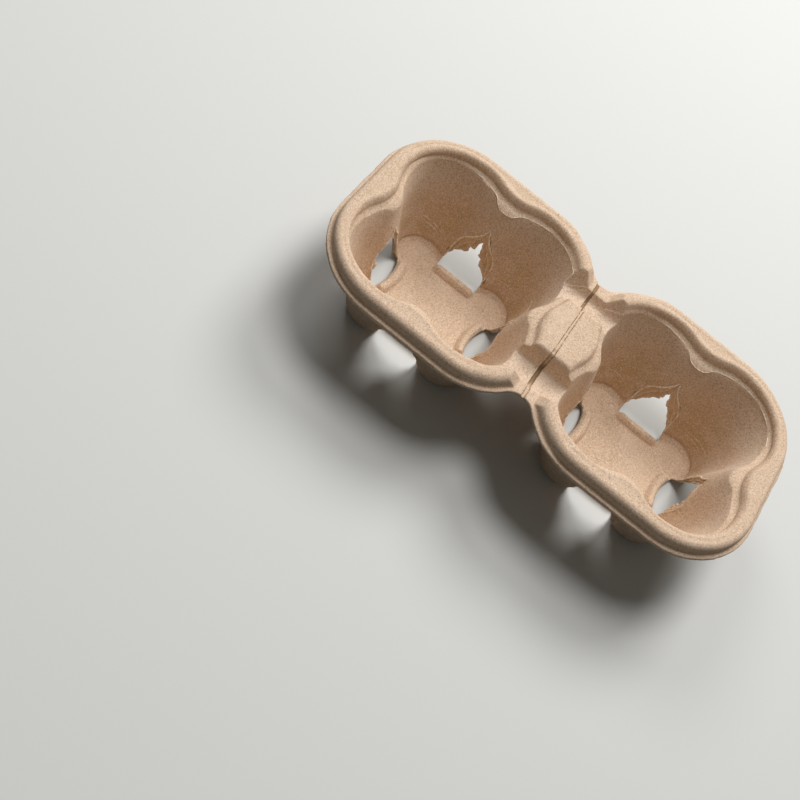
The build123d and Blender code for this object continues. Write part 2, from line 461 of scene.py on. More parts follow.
def creaseDistance(flat):
    # from the crease round the nearer cell's well, which is drawn as four lobes joined by bulges
    cell = abs(np.column_stack([abs(flat[:, 0]) - drawing["axisX"], flat[:, 1]]))
    side, ahead = cell.min(axis=1), cell.max(axis=1) - ledge["bulgeAt"]
    atLobe = ledge["lobeRadius"] - np.hypot(cell[:, 0] - ledge["lobeAt"], cell[:, 1] - ledge["lobeAt"])
    atBulge = np.hypot(side, ahead) - ledge["bulgeRadius"]
    onBulge = ledge["lobeAt"] * ahead < (ledge["lobeAt"] - ledge["bulgeAt"]) * side
    return np.where(onBulge, atBulge, atLobe)


def pressCrease(points, normals):
    # presses the crease over the ledge, but not near the score nor far over the lobes
    depth = np.exp(-((creaseDistance(points[:, :2]) / ledge["creaseHalf"]) ** 2)) * ledge["creaseDepth"]
    above = smoothStep((points[:, 2] - drawing["lipZ"]) / ledge["creaseFade"])
    depth *= smoothStep(normals[:, 2] / ledge["creaseTilt"]) * above
    depth *= smoothStep((abs(points[:, 0]) - rim["bridgeHalf"] / 2) / rim["bridgeFade"])
    cell = np.column_stack([abs(abs(points[:, 0]) - drawing["axisX"]), abs(points[:, 1])])
    ends = ledge["lobeAt"] + ledge["creaseOver"]
    depth *= smoothStep((ends - cell.min(axis=1)) / ledge["creaseOverFade"])
    pressed = points.copy()
    pressed[:, 2] -= depth
    return pressed


def squareRim(points, normals):
    # moving a rounding along its normals by its sine plus cosine less one tightens its radius
    fromAxis = points[:, :2] - np.sign(points[:, :1]) * (drawing["axisX"], 0)
    outside = (fromAxis * normals[:, :2]).sum(axis=1) > 0
    level = np.hypot(normals[:, 0], normals[:, 1])
    move = np.where(outside, rim["outer"], rim["inner"]) * (level + normals[:, 2] - 1)
    move[normals[:, 2] < 0] = 0
    lowest = np.where(outside, rim["outerFrom"], rim["innerFrom"])
    move *= smoothStep((points[:, 2] - lowest) / rim["fade"])
    move *= smoothStep((abs(points[:, 0]) - rim["bridgeHalf"]) / rim["bridgeFade"])
    return points + normals * move[:, None]


def raiseRibs(points):
    # the ribs stand higher than drawn over the floor beside them
    raised = points.copy()
    for _, turn, centre, out, across in openingPlaces():
        flat = points[:, :2] - centre
        u, s = flat @ out, flat @ across
        bend = s * s / (2 * ribs["bendRadius"]) * (turn % 2 == 0)
        share = smoothStep((u - bend - ribs["from"]) / ribs["fade"])
        share *= smoothStep((ribs["to"] + bend - u) / ribs["fade"])
        share *= smoothStep((ribs["half"] - abs(s)) / ribs["fade"])
        over = np.clip(points[:, 2] - drawing["wall"], 0, ribs["height"])
        raised[:, 2] += share * over * ribs["higher"]
    return raised


def squareHeel(points, normals):
    # the inner corner at the foot of each lobe moves against its normals, which tightens it
    cell = np.column_stack([abs(abs(points[:, 0]) - drawing["axisX"]), abs(points[:, 1])])
    fromAxis = points[:, :2] - np.sign(points[:, :1]) * (drawing["axisX"], 0)
    tilt = np.arccos(np.clip(normals[:, 2], -1, 1))
    half = math.radians(heel["turn"]) / 2
    move = heel["tighter"] * np.maximum(np.cos(tilt - half) / math.cos(half) - 1, 0)
    move[(fromAxis * normals[:, :2]).sum(axis=1) > 0] = 0
    move *= (points[:, 2] > heel["lowest"]) & (points[:, 2] < heel["highest"])
    move *= smoothStep((cell.min(axis=1) - heel["lobeFrom"]) / heel["lobeFade"])
    return points - normals * move[:, None]


def waved(points, normals):
    return points + normals * rough(points, wave)[:, None]


def tearOpenings(points, normals):
    # ragged round every opening, less so at the floor and over the point, with a lifted inner edge
    outline = openingOutline()
    moved = points.copy()
    for _, _, centre, out, across in openingPlaces():
        _, s, z, near = openingFrame(points, centre, out, across)
        near = near[z[near] > tear["lowest"]]
        distance, way = toOutline(np.column_stack([s[near], z[near]]), outline)
        inner = np.clip(-(normals[near, :2] @ out), 0, 1)
        offFloor = smoothStep((z[near] / mm - tear["floorFrom"]) / tear["floorFade"])
        below = smoothStep((drawing["openingTop"] + tear["pointOver"] - z[near]) / tear["pointFade"])
        strength = smoothStep(1 - abs(distance) / tear["band"])
        strength *= tear["floorShare"] + (1 - tear["floorShare"]) * offFloor
        strength *= below * (1 - tear["pointShare"]) + tear["pointShare"]
        # each opening is torn in its own way
        seed = 10.0 * centre[0] + 3.0 * out[0] + 7.0 * out[1]
        push = way * (rough(points[near], tear["ragged"], seed) * strength)[:, None]
        lift = tear["lift"] * inner * smoothStep(1 - abs(distance) / tear["liftBand"])
        lift *= tear["liftShare"] + rough(points[near], tear["liftRagged"], seed + 5)
        lift *= smoothStep((z[near] - drawing["ribTop"]) / tear["liftFade"])
        moved[near, :2] += push[:, :1] * across - lift[:, None] * out
        moved[near, 2] += push[:, 1]
    return moved


def lipDistance(flat):
    # from each point to the trimmed outline of the nearer cell
    cell = np.column_stack([abs(flat[:, 0]) - drawing["axisX"], abs(flat[:, 1])])
    corner = np.where(cell[:, 0] > 0, drawing["endCornerAt"], drawing["neckCornerAt"])
    ahead = np.maximum(np.column_stack([abs(cell[:, 0]), cell[:, 1]]) - corner[:, None], 0)
    return np.hypot(ahead[:, 0], ahead[:, 1]) - (drawing["cellHalf"] - corner)


def raggedLip(points, normals):
    z = points[:, 2]
    near = np.nonzero((z > drawing["lipZ"] - trim["under"]) & (z < drawing["lipZ"] + trim["over"]))[0]
    strength = smoothStep(1 - abs(lipDistance(points[near, :2])) / trim["band"])
    chosen = strength > 0
    near, strength = near[chosen], strength[chosen]
    push = rough(points[near], trim["ragged"]) * strength
    points[near] += normals[near] * trim["stretch"] * push[:, None]
    return points


def scorePlace(points):
    # across and along the tear score
    turn = math.radians(drawing["scoreTurn"])
    x = points[:, 0] - drawing["scoreShift"]
    across = x * math.cos(turn) + points[:, 1] * math.sin(turn)
    return across, points[:, 1] * math.cos(turn) - x * math.sin(turn)


def tornFaces(points, normals):
    # 1 on what faces into an opening along its outline, 0 elsewhere: the mask of the torn colour, partly
    # painted shade
    outline = openingOutline()
    mask = np.zeros(len(points))
    for _, _, centre, out, across in openingPlaces():
        _, s, z, near = openingFrame(points, centre, out, across)
        near = near[z[near] > drawing["ribTop"] + tear["faceOver"]]
        distance, way = toOutline(np.column_stack([s[near], z[near]]), outline)
        facing = (normals[near, :2] @ across) * way[:, 0] + normals[near, 2] * way[:, 1]
        facing *= np.sign(distance)
        close = smoothStep(2 - abs(distance) / tear["faceBand"])
        turned = smoothStep((facing - tear["faceTilt"]) / tear["faceFade"])
        mask[near] = np.maximum(mask[near], turned * close)
    return mask


def scoreMasks(points):
    # where the score shows as two cut lines, and where its groove is darkened with painted shade
    across, along = scorePlace(points)
    near = (points[:, 2] > drawing["bridgeZ"]) & (abs(across) < tearScore["beside"])
    end = abs(along)
    onCrown = 1 - smoothStep((end - drawing["crownEnd"]) / tearScore["crownFade"])
    onTab = smoothStep((end - drawing["tabStart"] + tearScore["tabBefore"]) / tearScore["tabFade"])
    onTab *= along < 0
    lines = np.where(near, 1 - tearScore["tabLines"] * onTab, 0.0)
    groove = np.where(near, (1 - onCrown) * (1 - tearScore["tabGrooveShade"] * onTab), 0.0)
    return lines, groove


def addMask(mesh, name, values):
    layer = mesh.attributes.new(name, "FLOAT", "POINT")
    layer.data.foreach_set("value", np.asarray(values, dtype=np.float32))


def mergedSolid():
    solid = bmesh.new()
    solid.from_mesh(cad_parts["cup_carrier"].data)
    bmesh.ops.remove_doubles(solid, verts=solid.verts, dist=0.002 * mm)
    return solid


def softShares(points, normals):
    # how freely each point may soften: little in the score and on the wells' floors, more at the
    # heels outside, on the bridge beside its crown and where the ledge runs out over the lobes
    x, y, z = points.T
    fromAxis = points[:, :2] - np.sign(points[:, :1]) * (drawing["axisX"], 0)
    outside = ((fromAxis * normals[:, :2]).sum(axis=1) > 0) | (normals[:, 2] < soft["underside"])
    fromScore = abs(scorePlace(points)[0])
    inScore = (fromScore < 2 * drawing["scoreHalf"]) & (z > drawing["bridgeZ"])
    bridge = smoothStep((soft["bridgeHalf"] - abs(x)) / soft["bridgeFade"])
    bridge *= smoothStep((abs(y) - soft["crownHalf"]) / soft["crownFade"])
    bridge *= (z > drawing["bridgeZ"]) & ~inScore
    cell = np.column_stack([abs(abs(x) - drawing["axisX"]), abs(y)])
    lobe = smoothStep((cell.min(axis=1) - soft["lobeFrom"]) / soft["lobeFade"])
    lobe *= smoothStep((soft["lobeTop"] - z) / soft["lobeTopFade"])
    lobe *= smoothStep((z - drawing["lipZ"] + soft["lobeUnder"]) / soft["lobeUnder"]) * ~outside
    foot = smoothStep((drawing["heelTop"] - z) / soft["heelFade"]) * outside
    every = np.where(inScore, skin["scoreShare"], 1.0)
    every[(z < drawing["ribTop"] + soft["floorOver"]) & ~outside] = skin["floorShare"]
    outline = openingOutline()
    for _, _, centre, out, across in openingPlaces():
        _, s, z, near = openingFrame(points, centre, out, across)
        near = near[z[near] > drawing["ribTop"]]
        distance = toOutline(np.column_stack([s[near], z[near]]), outline)[0]
        foot[near] *= smoothStep((abs(distance) - soft["openingGap"]) / soft["openingFade"])
    return every, foot, bridge, lobe


def buildSkin():
    solid = mergedSolid()
    mesh = bpy.data.meshes.new("carrierSolid")
    solid.to_mesh(mesh)
    solid.free()
    mesh = withModifier(mesh, "REMESH", mode="VOXEL", voxel_size=skin["grain"])
    print("remeshed to", len(mesh.vertices), "points")

    points, edges = readPoints(mesh), readEdges(mesh)
    every, foot, bridge, lobe = softShares(points, readNormals(mesh))
    points = soften(points, edges, every, skin["softenRounds"])
    points = soften(points, edges, foot, skin["heelRounds"])
    points = soften(points, edges, bridge, skin["bridgeRounds"])
    points = soften(points, edges, lobe, skin["lobeRounds"])
    writePoints(mesh, points)
    normals = readNormals(mesh)
    points = raiseRibs(squareHeel(squareRim(points, normals), normals))
    points = shapeLedge(pressCrease(points, normals))
    writePoints(mesh, points)
    smooth, smoothNormals = points.copy(), readNormals(mesh)
    print("edges softened")

    points = tearOpenings(points, smoothNormals)
    points = raggedLip(points, smoothNormals)
    points = waved(points, smoothNormals)
    points[:, 2] = np.maximum(points[:, 2], 0)
    writePoints(mesh, points)
    print("edges torn")

    ratio = skin["keepTriangles"] / (2 * len(mesh.polygons))
    mesh = withModifier(mesh, "DECIMATE", decimate_type="COLLAPSE", ratio=min(1, ratio))
    print("skin kept", len(mesh.polygons), "faces")
    points, normals = readPoints(mesh), readNormals(mesh)
    # the mask of the torn colour, partly painted shade
    addMask(mesh, "tornAndShade", tornFaces(points, normals))
    fromAxis = points[:, :2] - np.sign(points[:, :1]) * (drawing["axisX"], 0)
    addMask(mesh, "inside", (fromAxis * normals[:, :2]).sum(axis=1) < 0)
    for name, values in zip(("scoreLines", "scoreGrooveShade"), scoreMasks(points)):
        addMask(mesh, name, values)
    mesh.shade_smooth()
    carrier = bpy.data.objects.new("carrierSkin", mesh)
    bpy.context.collection.objects.link(carrier)
    return carrier, smooth, smoothNormals


# torn plies of pulp that hang on round the openings, past the inner edge
plies = {
    "heights": (4, 9, 13, 17, 21),  # mm
    # share of its half of the opening that a ply closes at those heights, on either side
    "reach": {
        "left_plusX": ((0, 0.06, 0.18, 0.33, 0.50), (0, 0.21, 0.22, 0.20, 0.40)),
        "left_back": ((0, 0.15, 0.48, 0.68, 0.86), (0, 0.20, 0.55, 0.66, 0.80)),
        "left_minusX": ((0, 0.26, 0.31, 0.30, 0.42), (0, 0.03, 0.10, 0.21, 0.40)),
        "left_front": ((0, 0.12, 0.35, 0.55, 0.74), (0, 0.15, 0.40, 0.60, 0.76)),
        "right_plusX": ((0, 0.07, 0.22, 0.40, 0.58), (0, 0.28, 0.32, 0.30, 0.45)),
        "right_back": ((0, 0.22, 0.44, 0.62, 0.83), (0, 0.16, 0.36, 0.50, 0.74)),
        "right_minusX": ((0, 0.15, 0.17, 0.18, 0.36), (0, 0.02, 0.07, 0.18, 0.40)),
        "right_front": ((0, 0.10, 0.32, 0.52, 0.74), (0, 0.18, 0.42, 0.56, 0.72)),
    },
    # share of the reach, and depth in the wall on one side and on the other
    "layers": ((0.45, 0.40, 0.24), (1.0, 0.70, 0.48)),
    "closed": 22.7 * mm,  # height from which plies of both sides close the opening
    "closing": 2.0 * mm,
    "past": (1.18, 0.92),  # share of their half that they close, on either side
    "most": 0.90,  # of its half that a ply closes lower down
    "least": 0.3 * mm,
    "swell": (4.5 * mm, 0.3, 1.0),  # size along the outline, share of the reach, seed
    "ragged": ((1.7 * mm, 0.40 * mm, 5.0), (0.7 * mm, 0.16 * mm, 7.0)),  # size, height, seed
    "rooted": 1.0 * mm,  # how far a ply starts inside the wall
    "foot": 3.6 * mm,
    "footFade": 5 * mm,
    "pointGap": 0.3 * mm,
    "slope": 0.4,  # of the way a ply reaches, as a share of square to the outline
    "columns": 170,
    "rows": 6,
    "thick": 0.34 * mm,
    "curl": 1.0 * mm,
    "curlMean": 0.25,
    "curlSwell": (5 * mm, 1.3, 9.0),
    "curlRun": 2 * mm,
    "shakes": ((1.6 * mm, 0.16 * mm), (0.6 * mm, 0.05 * mm)),  # size, height
    # torn colour, partly painted shade, at the root and how much of it is gone at the free edge, which is
    # bare and takes a painted highlight
    "tornAndShadeRoot": 0.85,
    "tornAndShadeLoss": 0.4,
    "bareHighlightEdge": 0.75,
    "bareHighlightFrom": 0.8,
    "bareHighlightRun": 0.2,
    # where the wall's faces are read, and how far their slope carries on into the opening
    "readFacing": 0.5,
    "readFrom": 0.5 * mm,
    "readTo": 5 * mm,
    "readSpots": 6,
    "readNear": 0.6 * mm,
    "readFar": 2.4 * mm,
    "carryOn": 0.8,
}


def wallReader(points, normals, centre, out, across):
    # gives the inner and outer face of the wall beside an opening, at a place across and up
    u, s, z, near = openingFrame(points, centre, out, across)
    distance = toOutline(np.column_stack([s[near], z[near]]), openingOutline())[0]
    facing = normals[near, :2] @ out
    faces = []
    for side in (facing < -plies["readFacing"], facing > plies["readFacing"]):
        chosen = near[side & (distance > plies["readFrom"]) & (distance < plies["readTo"])]
        tree = KDTree(len(chosen))
        for index, point in enumerate(chosen):
            tree.insert((s[point], z[point], 0), index)
        tree.balance()
        faces.append((tree, u[chosen]))

    def read(place):
        depths = []
        for tree, depth in faces:
            spots = tree.find_n((place[0], place[1], 0), plies["readSpots"])
            found = [index for _, index, _ in spots]
            depths.append(float(np.mean(depth[found])))
        return depths

    return read


def plySide(sign):
    # evenly spaced places up one side of an opening, with the way into it
    side = openingSide()
    steps = np.hypot(*np.diff(side, axis=0).T)
    length = np.concatenate([[0], np.cumsum(steps)])
    first = np.interp(plies["foot"], side[:, 1], length)
    at = np.linspace(first, length[-1] - plies["pointGap"], plies["columns"] + 1)
    place = np.column_stack([np.interp(at, length, side[:, 0]), np.interp(at, length, side[:, 1])])
    run = np.gradient(place, axis=0)
    run /= np.hypot(run[:, 0], run[:, 1])[:, None]
    way = np.column_stack([-run[:, 1], run[:, 0]]) * (1, plies["slope"])
    way /= np.hypot(way[:, 0], way[:, 1])[:, None]
    return at, place * (sign, 1), way * (sign, 1)


def plyReach(at, place, sign, shares, share, seed):
    # how far a ply reaches at each place, and how far it curls there
    reach = np.empty(len(at))
    curl = np.empty(len(at))
    swellSize, swell, swellSeed = plies["swell"]
    curlSize, curlSwell, curlSeed = plies["curlSwell"]
    for index, (length, spot) in enumerate(zip(at, place)):
        full = float(np.interp(spot[1] / mm, plies["heights"], shares)) * abs(spot[0]) * share
        full = full * (1 + swell * noise.noise((length / swellSize, seed, swellSeed))) + plies["least"]
        for size, height, raggedSeed in plies["ragged"]:
            full += height * noise.noise((length / size, seed, raggedSeed))
        full *= float(smoothStep((spot[1] - plies["foot"]) / plies["footFade"]))
        full = min(full, plies["most"] * abs(spot[0]))
        close = float(smoothStep((spot[1] - plies["closed"]) / plies["closing"]))
        past = plies["past"][sign < 0] * share
        reach[index] = full + (past * abs(spot[0]) - full) * close
        bent = curlSwell * noise.noise((length / curlSize, seed, curlSeed))
        curl[index] = plies["curl"] * (plies["curlMean"] + bent)
    return reach, curl


def addPly(shape, read, sign, shares, depthShare, share, seed, centre, out, across):
    at, place, way = plySide(sign)
    reach, curl = plyReach(at, place, sign, shares, share, seed)
    nearEnd = [read(p - w * plies["readNear"]) for p, w in zip(place, way)]
    farEnd = [read(p - w * plies["readFar"]) for p, w in zip(place, way)]
    apart = plies["readFar"] - plies["readNear"]
    grid = bmesh.ops.create_grid(shape, x_segments=plies["columns"], y_segments=plies["rows"], size=0.5)
    tornAndShade = shape.verts.layers.float["tornAndShade"]
    bareAndHighlight = shape.verts.layers.float["bareAndHighlight"]
    for vertex in grid["verts"]:
        column = round((vertex.co.x + 0.5) * plies["columns"])
        v = vertex.co.y + 0.5
        ahead = -plies["rooted"] + (plies["rooted"] + reach[column]) * v
        spot = place[column] + way[column] * ahead
        depths = []
        for a, b in zip(nearEnd[column], farEnd[column]):
            depths.append(a + (a - b) / apart * (ahead + plies["readNear"]) * plies["carryOn"])
        u = depths[0] + (depths[1] - depths[0]) * depthShare
        u += curl[column] * min(1.0, max(0.0, ahead / plies["curlRun"])) * v * share
        flat = centre + out * u + across * spot[0]
        co = Vector((flat[0], flat[1], spot[1]))
        shake = Vector()
        for size, height in plies["shakes"]:
            shake += noise.noise_vector(co / size) * height
        vertex.co = co + shake * v
        # torn colour, partly painted shade, strongest at the root
        vertex[tornAndShade] = plies["tornAndShadeRoot"] - plies["tornAndShadeLoss"] * v ** 3
        # pale colour with a painted highlight towards the free edge
        vertex[bareAndHighlight] = plies["bareHighlightEdge"] * max(0.0, (v - plies["bareHighlightFrom"]) / plies["bareHighlightRun"])


def buildPlies(points, normals):
    made = []
    for name, _, centre, out, across in openingPlaces():
        read = wallReader(points, normals, centre, out, across)
        shape = bmesh.new()
        shape.verts.layers.float.new("tornAndShade")
        shape.verts.layers.float.new("bareAndHighlight")
        for layer, (share, *depthShares) in enumerate(plies["layers"]):
            for sign, depthShare, shares in zip((1, -1), depthShares, plies["reach"][name]):
                # no two plies are torn alike
                seed = 11.3 * len(made) + 3.7 * layer + sign
                addPly(shape, read, sign, shares, depthShare, share, seed, centre, out, across)
        mesh = bpy.data.meshes.new("tornPly")
        shape.to_mesh(mesh)
        shape.free()
        mesh = withModifier(mesh, "SOLIDIFY", thickness=plies["thick"], offset=0)
        mesh.shade_smooth()
        ply = bpy.data.objects.new("tornPly_" + name, mesh)
        bpy.context.collection.objects.link(ply)
        made.append(ply)
    return made


# thin burr of fibre along the lower edge of the ledge in each well
burr = {
    "from": 18,  # degrees round the cup axis
    "to": 130,
    "fade": 18,
    "step": 1.0,
    "thick": 0.21 * mm,
    "strength": 0.7,
    "ragged": ((7.0, 1.1, 2.0), (2.0, 0.5, 4.0)),  # size in degrees, amount, seed
    "lowest": 38.0 * mm,  # heights between which the ledge's edge is looked for
    "highest": 45.5 * mm,
    "rise": 0.25 * mm,
    "bendSteps": 2,
    "before": 0.02 * mm,  # how far it stands before the wall
}

# every fine thread of fibre
strand = {
    "round": 1,  # bevel steps
    "sway": 0.12 * mm,
    "swaySize": 1.5 * mm,
    "thinnest": 0.02,  # shares of its stated thickness
    "thickest": 1.2,
    "taper": 10,  # spots over which it thins out at its ends
}


def ledgeEdge(tree, centre, angle):
    # the lower edge of the ledge is where the wall turns outwards most
    way = Vector((math.cos(angle), math.sin(angle), 0))
    heights = np.arange(burr["lowest"], burr["highest"], burr["rise"])
    hits = [tree.ray_cast(Vector((centre, 0, z)), way) for z in heights]
    if any(hit[0] is None for hit in hits):
        return None
    run = np.array([hit[3] for hit in hits])
    steps = burr["bendSteps"]
    bend = run[:-2 * steps] + run[2 * steps:] - 2 * run[steps:-steps]
    best = int(np.argmax(bend)) + steps
    return Vector((centre, 0, heights[best])) + way * (run[best] - burr["before"])


def addThread(name, spots, strengths, thick):
    # a fine thread of fibre along the spots, thicker and thinner by their strengths
    line = bpy.data.curves.new("fibreThread", "CURVE")
    line.dimensions = "3D"
    line.bevel_depth = thick
    line.bevel_resolution = strand["round"]
    line.use_fill_caps = True
    spline = line.splines.new("POLY")
    spline.points.add(len(spots) - 1)
    for index, (point, spot, strength) in enumerate(zip(spline.points, spots, strengths)):
        sway = noise.noise_vector(Vector(spot) / strand["swaySize"]) * strand["sway"]
        point.co = (*(Vector(spot) + sway), 1)
        toEnd = min(index, len(spots) - 1 - index)
        radius = min(strand["thickest"], strength) * min(1.0, toEnd / strand["taper"])
        point.radius = max(strand["thinnest"], radius)
    holder = bpy.data.objects.new("work", line)
    bpy.context.collection.objects.link(holder)
    depsgraph = bpy.context.evaluated_depsgraph_get()
    mesh = bpy.data.meshes.new_from_object(holder.evaluated_get(depsgraph))
    bpy.data.objects.remove(holder)
    # every thread takes the pale bare colour, partly a painted highlight
    addMask(mesh, "bareAndHighlight", np.full(len(mesh.vertices), 1.0))
    thread = bpy.data.objects.new(name, mesh)
    bpy.context.collection.objects.link(thread)
    return thread


def buildBurrs():
    solid = mergedSolid()
    tree = BVHTree.FromBMesh(solid)
    made = []
    for cell, name in ((-1, "left"), (1, "right")):
        spots = []
        strengths = []
        for angle in np.arange(burr["from"], burr["to"], burr["step"]):
            spot = ledgeEdge(tree, cell * drawing["axisX"], math.radians(angle))
            if spot is None:
                continue
            strength = burr["strength"]
            for size, amount, seed in burr["ragged"]:
                strength += amount * noise.noise((angle / size, cell, seed))
            strength *= float(smoothStep((angle - burr["from"]) / burr["fade"]))
            strength *= float(smoothStep((burr["to"] - angle) / burr["fade"]))
            spots.append(shapeLedge(np.array([spot]))[0])
            strengths.append(strength)
        made.append(addThread("ledgeBurr_" + name, spots, strengths, burr["thick"]))
    solid.free()
    return made


# fine lines pressed into the walls near the heels
presses = {
    "thick": 0.14 * mm,
    "strength": 0.8,
    "ragged": ((3 * mm, 0.5),),
    "steps": 40,
    # cell, then degrees round the cup axis and mm up at either end
    "lines": (
        (-1, 136, 15.0, 115, 9.0), (-1, 134, 12.4, 119, 8.2), (-1, 66, 9.8, 54, 10.8),
        (-1, 42, 20.0, 18, 15.0), (1, 137, 13.5, 116, 9.4), (1, 62, 9.5, 40, 12.0), (1, 60, 8.0, 46, 9.2),
    ),
}


def buildPressLines():
    solid = mergedSolid()
    tree = BVHTree.FromBMesh(solid)
    made = []
    for number, (cell, fromAngle, fromHeight, toAngle, toHeight) in enumerate(presses["lines"]):
        along = np.linspace(0, 1, presses["steps"])
        spots = []
        facing = []
        for t in along:
            angle = math.radians(fromAngle + (toAngle - fromAngle) * t)
            way = Vector((math.cos(angle), math.sin(angle), 0))
            height = (fromHeight + (toHeight - fromHeight) * t) * mm
            spots.append(tree.ray_cast(Vector((cell * drawing["axisX"], 0, height)), way)[0])
            facing.append(-way)
        spots = waved(np.array(spots), np.array(facing))
        strengths = presses["strength"] + rough(spots, presses["ragged"])
        made.append(addThread(f"pressLine_{number}", spots, strengths, presses["thick"]))
    solid.free()
    return made


def buildTornEdges(points, normals):
    # the lifted edge where the inner face of the wall is torn round an opening, light from pale fibre
    # colour with a painted highlight
    made = []
    swellSize, swell = tear["edgeSwell"]
    raggedSize, ragged = tear["edgeRagged"]
    for name, turn, centre, out, across in openingPlaces():
        read = wallReader(points, normals, centre, out, across)
        seed = 10 * centre[0] + turn
        for sign, sideName in ((1, "a"), (-1, "b")):
            at, place, way = plySide(sign)
            spots = []
            strengths = []
            for length, spot, ahead in zip(at, place, way):
                depth = read(spot - ahead * plies["readNear"])[0]
                flat = centre + out * depth + across * spot[0]
                spots.append((flat[0], flat[1], spot[1]))
                strength = tear["edgeStrength"] + swell * noise.noise((length / swellSize, seed, sign))
                strengths.append(strength + ragged * noise.noise((length / raggedSize, turn, sign + 6.0)))
            facing = np.tile((-out[0], -out[1], 0.0), (len(spots), 1))
            spots = waved(tearOpenings(np.array(spots), facing), facing)
            made.append(addThread("tornEdge_" + name + "_" + sideName, spots, strengths, tear["edgeThick"]))
    return made


# moulded pulp
pulp = {
    "base": (0.712, 0.530, 0.388),
    "dark": (0.500, 0.350, 0.230),
    "light": (0.850, 0.700, 0.555),
    "speck": (0.200, 0.115, 0.055),
    "fibre": (0.420, 0.280, 0.165),
    # painted shade: the warm ochre of light bounced between the walls of the wells
    "shadeOchre": (0.570, 0.385, 0.175),
    # painted light: the paler, greyer tone of upper walls that more fill light reaches
    "paintedFill": (0.770, 0.610, 0.480),
    # the ochre of torn pulp, darker than it is: partly its own tone, partly painted shade
    "tornAndShade": (0.660, 0.450, 0.230),
    # pale bare fibre, lighter than it is: partly its own tone, partly a painted highlight
    "bareAndHighlight": (0.920, 0.805, 0.675),
    # painted shade in the score's groove
    "groove": (0.260, 0.160, 0.065),
    "line": (0.260, 0.155, 0.075),
    "roughness": 0.93,
    "specular": 0.25,
    "shadeOchreLow": (3.5 * mm, 7 * mm),  # heights between which the inner walls turn ochre as painted shade, and back again
    "shadeOchreHigh": (12 * mm, 32 * mm),
    "shadeOchreBack": (-6 * mm, 10 * mm),  # only on the back half, whose walls face away from the lamps
    "paintedFillFrom": (22 * mm, 36 * mm),  # and those over which they turn paler and greyer as painted light, up to the ledge
    "paintedFillTo": (40 * mm, 43 * mm),
    # blots: size, threshold, softness, seed, detail, then the share that their colour takes
    "mottle": (4.5 * mm, 0.42, 0.30, 0.0, 4.0, 0.22),
    "patches": (9 * mm, 0.40, 0.18, 1.7, 2.0, 0.65),
    "darkGrain": (0.75 * mm, 0.50, 0.14, 0.3, 2.0, 0.68),
    "lightFlecks": (0.60 * mm, 0.53, 0.12, 0.7, 2.0, 0.80),
    "insideFlecks": (0.60 * mm, 0.52, 0.12, 0.4, 2.0, 0.50),
    "specks": (0.85 * mm, 0.740, 0.05, 0.9, 1.0, 0.75),
    "brokenLine": (1.6 * mm, 0.36, 0.10, 0.5, 1.0, 0.85),
    # shares that the other colours take
    "paintedFillShare": 0.55,
    "tornAndShadeShare": 0.9,
    "bareAndHighlightShare": 0.9,
    "fibreShare": 0.45,
    "grooveShare": 0.80,
    "fibreSize": 2.6 * mm,
    "fibreWidth": 0.014,
    "fibreShift": (0.31, 0.17, 0.53),
    "fibreKept": (("From Min", 0.56), ("From Max", 0.60)),
    "feltSize": 0.75 * mm,
    "feltHeight": 0.16 * mm,
    "feltStrength": 0.7,
}

# sockets of a map range that goes from 1 down to 0
falling = (("To Min", 1.0), ("To Max", 0.0))


def addNode(tree, kind, sockets=(), **settings):
    # a node with some of its settings filled in, and some of its sockets by name or number
    node = tree.nodes.new("ShaderNode" + kind)
    for key, value in settings.items():
        setattr(node, key, value)
    for socket, value in sockets:
        node.inputs[socket].default_value = value
    return node


def wire(tree, *joints):
    # joins an output of one node to an input of another, for every joint
    for node, output, nextNode, socket in joints:
        tree.links.new(node.outputs[output], nextNode.inputs[socket])


def startGroup(name, inputs, outputs):
    tree = bpy.data.node_groups.new(name, "ShaderNodeTree")
    for socket, kind, value in inputs:
        made = tree.interface.new_socket(name=socket, in_out="INPUT", socket_type="NodeSocket" + kind)
        if value is not None:
            made.default_value = value
    for socket, kind in outputs:
        tree.interface.new_socket(name=socket, in_out="OUTPUT", socket_type="NodeSocket" + kind)
    return tree, tree.nodes.new("NodeGroupInput"), tree.nodes.new("NodeGroupOutput")


def speckGroup():
    # blots of one size that cover a share of the surface
    tree, start, end = startGroup(
        "pulpSpecks",
        (("Vector", "Vector", None), ("Size", "Float", 0.001), ("Threshold", "Float", 0.65),
         ("Softness", "Float", 0.05), ("Seed", "Float", 0.0), ("Detail", "Float", 1.0)),
        (("Mask", "Float"),),
    )
    shift = addNode(tree, "VectorMath", operation="ADD")
    scale = addNode(tree, "Math", ((0, 1.0),), operation="DIVIDE")
    blots = addNode(tree, "TexNoise", noise_dimensions="3D")
    top = addNode(tree, "Math", operation="ADD")
    cut = addNode(tree, "MapRange", interpolation_type="SMOOTHSTEP")
    wire(
        tree,
        (start, "Vector", shift, 0), (start, "Seed", shift, 1), (start, "Size", scale, 1),
        (shift, 0, blots, "Vector"), (scale, 0, blots, "Scale"), (start, "Detail", blots, "Detail"),
        (start, "Threshold", top, 0), (start, "Softness", top, 1), (blots, "Fac", cut, "Value"),
        (start, "Threshold", cut, "From Min"), (top, 0, cut, "From Max"), (cut, "Result", end, "Mask"),
    )
    return tree


